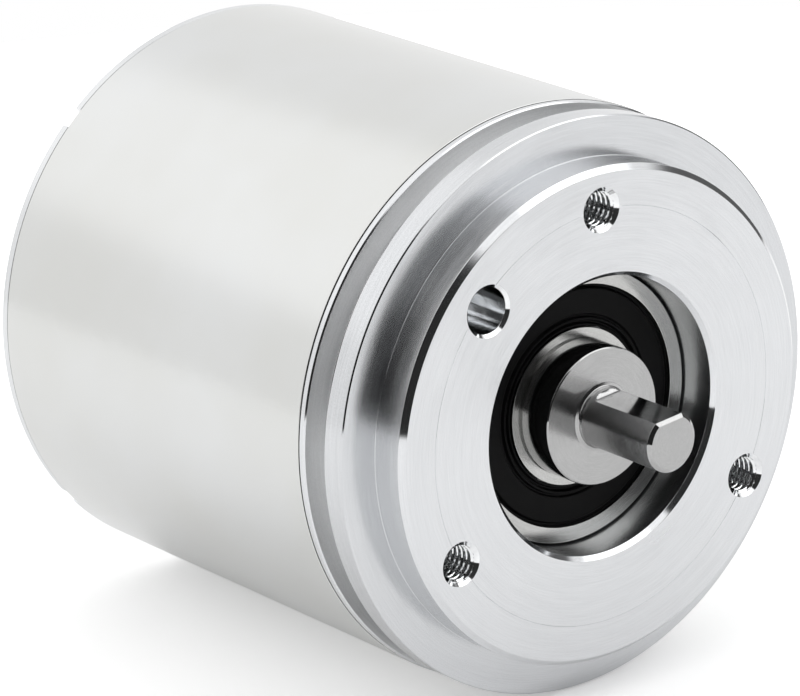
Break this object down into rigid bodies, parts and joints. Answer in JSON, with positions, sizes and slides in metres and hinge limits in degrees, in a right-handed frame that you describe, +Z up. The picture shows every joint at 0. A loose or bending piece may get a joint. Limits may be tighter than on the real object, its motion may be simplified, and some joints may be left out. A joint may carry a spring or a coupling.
{
  "type": "absolute rotary encoder",
  "caption": "Absolute rotary encoder with a synchro flange, a stub shaft with a drive flat, a steel sleeve and an axial round connector, built with its bearings, code disc and counting gears.",
  "frame": {"origin": "on the shaft axis, in the plane of the shoulder that the flange's pilot stands on", "axes": "+X along the shaft and out of its drive end, +Z up through one of the three tapped holes"},
  "size_m": [0.0803, 0.0584, 0.0584],
  "materials": {
    "turned_aluminium": "fine turned, satin",
    "plated_steel": "smooth nickel plating",
    "stainless_steel": "ground and turned",
    "bearing_steel": "ground",
    "zinc_steel": "zinc plated",
    "spring_steel": "blued",
    "brass": "turned",
    "plated_brass": "nickel plated",
    "gold_contact": "gold plated",
    "rubber": "moulded black nitrile",
    "glass": "polished",
    "board": "solder resist",
    "black_plastic": "moulded",
    "white_plastic": "moulded",
    "chip_plastic": "moulded package",
    "cage_plastic": "moulded nylon",
    "magnet": "sintered"
  },
  "bodies": {
    "housing": {"flange": "turned_aluminium", "flange_ring": "rubber", "housing_sleeve": "plated_steel", "rear_cap": "turned_aluminium", "cap_ring": "rubber", "cap_screws": "stainless_steel", "front_bearing_outer_ring": "bearing_steel", "front_bearing_front_seal": "rubber", "front_bearing_rear_seal": "rubber", "rear_bearing_outer_ring": "bearing_steel", "rear_bearing_shields": "zinc_steel", "preload_spring": "spring_steel", "light_board": "board", "light_screws": "stainless_steel", "light_leads": "gold_contact", "lamp_holder": "black_plastic", "lamp": "glass", "lens": "glass", "light_sensor": "chip_plastic", "scanning_mask": "glass", "sensor_board": "board", "interface_board": "board", "studs": "zinc_steel", "front_spacers": "zinc_steel", "rear_pillars": "plated_brass", "board_header": "black_plastic", "processor": "chip_plastic", "line_driver": "chip_plastic", "smoothing_capacitor": "turned_aluminium", "gear_base": "black_plastic", "gear_cover": "black_plastic", "gear_axles": "stainless_steel", "counting_sensors": "chip_plastic", "connector_shell": "plated_brass", "connector_insert": "black_plastic", "connector_pins": "gold_contact", "connector_seal": "rubber", "connector_lock_nut": "plated_brass"},
    "shaft": {"shaft": "stainless_steel", "front_bearing_inner_ring": "bearing_steel", "rear_bearing_inner_ring": "bearing_steel", "retaining_ring": "spring_steel", "disc_hub": "brass", "grub_screws": "stainless_steel", "code_disc": "glass", "disc_clamp": "brass", "shaft_pinion": "brass"},
    "front_ball_set": {"front_bearing_balls": "bearing_steel", "front_bearing_cage": "cage_plastic"},
    "rear_ball_set": {"rear_bearing_balls": "bearing_steel", "rear_bearing_cage": "cage_plastic"},
    "counting_gear_1": {"counting_wheel_1": "white_plastic", "counting_magnet_1": "magnet"},
    "counting_gear_2": {"counting_wheel_2": "white_plastic", "counting_magnet_2": "magnet"},
    "counting_gear_3": {"counting_wheel_3": "white_plastic", "counting_magnet_3": "magnet"}
  },
  "joints": [
    {"name": "shaft_spin", "type": "hinge", "parent": "housing", "child": "shaft", "pos_m": [0, 0, 0], "axis": [1, 0, 0], "continuous": true},
    {"name": "front_ball_set_spin", "type": "hinge", "parent": "housing", "child": "front_ball_set", "pos_m": [0, 0, 0], "axis": [1, 0, 0], "continuous": true},
    {"name": "rear_ball_set_spin", "type": "hinge", "parent": "housing", "child": "rear_ball_set", "pos_m": [0, 0, 0], "axis": [1, 0, 0], "continuous": true},
    {"name": "counting_gear_1_spin", "type": "hinge", "parent": "housing", "child": "counting_gear_1", "pos_m": [0, 0.00904, 0], "axis": [1, 0, 0], "continuous": true},
    {"name": "counting_gear_2_spin", "type": "hinge", "parent": "housing", "child": "counting_gear_2", "pos_m": [0, 0.0081, 0.00899], "axis": [1, 0, 0], "continuous": true},
    {"name": "counting_gear_3_spin", "type": "hinge", "parent": "housing", "child": "counting_gear_3", "pos_m": [0, -0.0001, 0.01281], "axis": [1, 0, 0], "continuous": true}
  ],
  "couplings": [
    {"joint": "front_ball_set_spin", "follows": "shaft_spin", "ratio": 0.38095},
    {"joint": "rear_ball_set_spin", "follows": "shaft_spin", "ratio": 0.3677},
    {"joint": "counting_gear_1_spin", "follows": "shaft_spin", "ratio": -0.25},
    {"joint": "counting_gear_2_spin", "follows": "shaft_spin", "ratio": 0.0625},
    {"joint": "counting_gear_3_spin", "follows": "shaft_spin", "ratio": -0.015625}
  ]
}
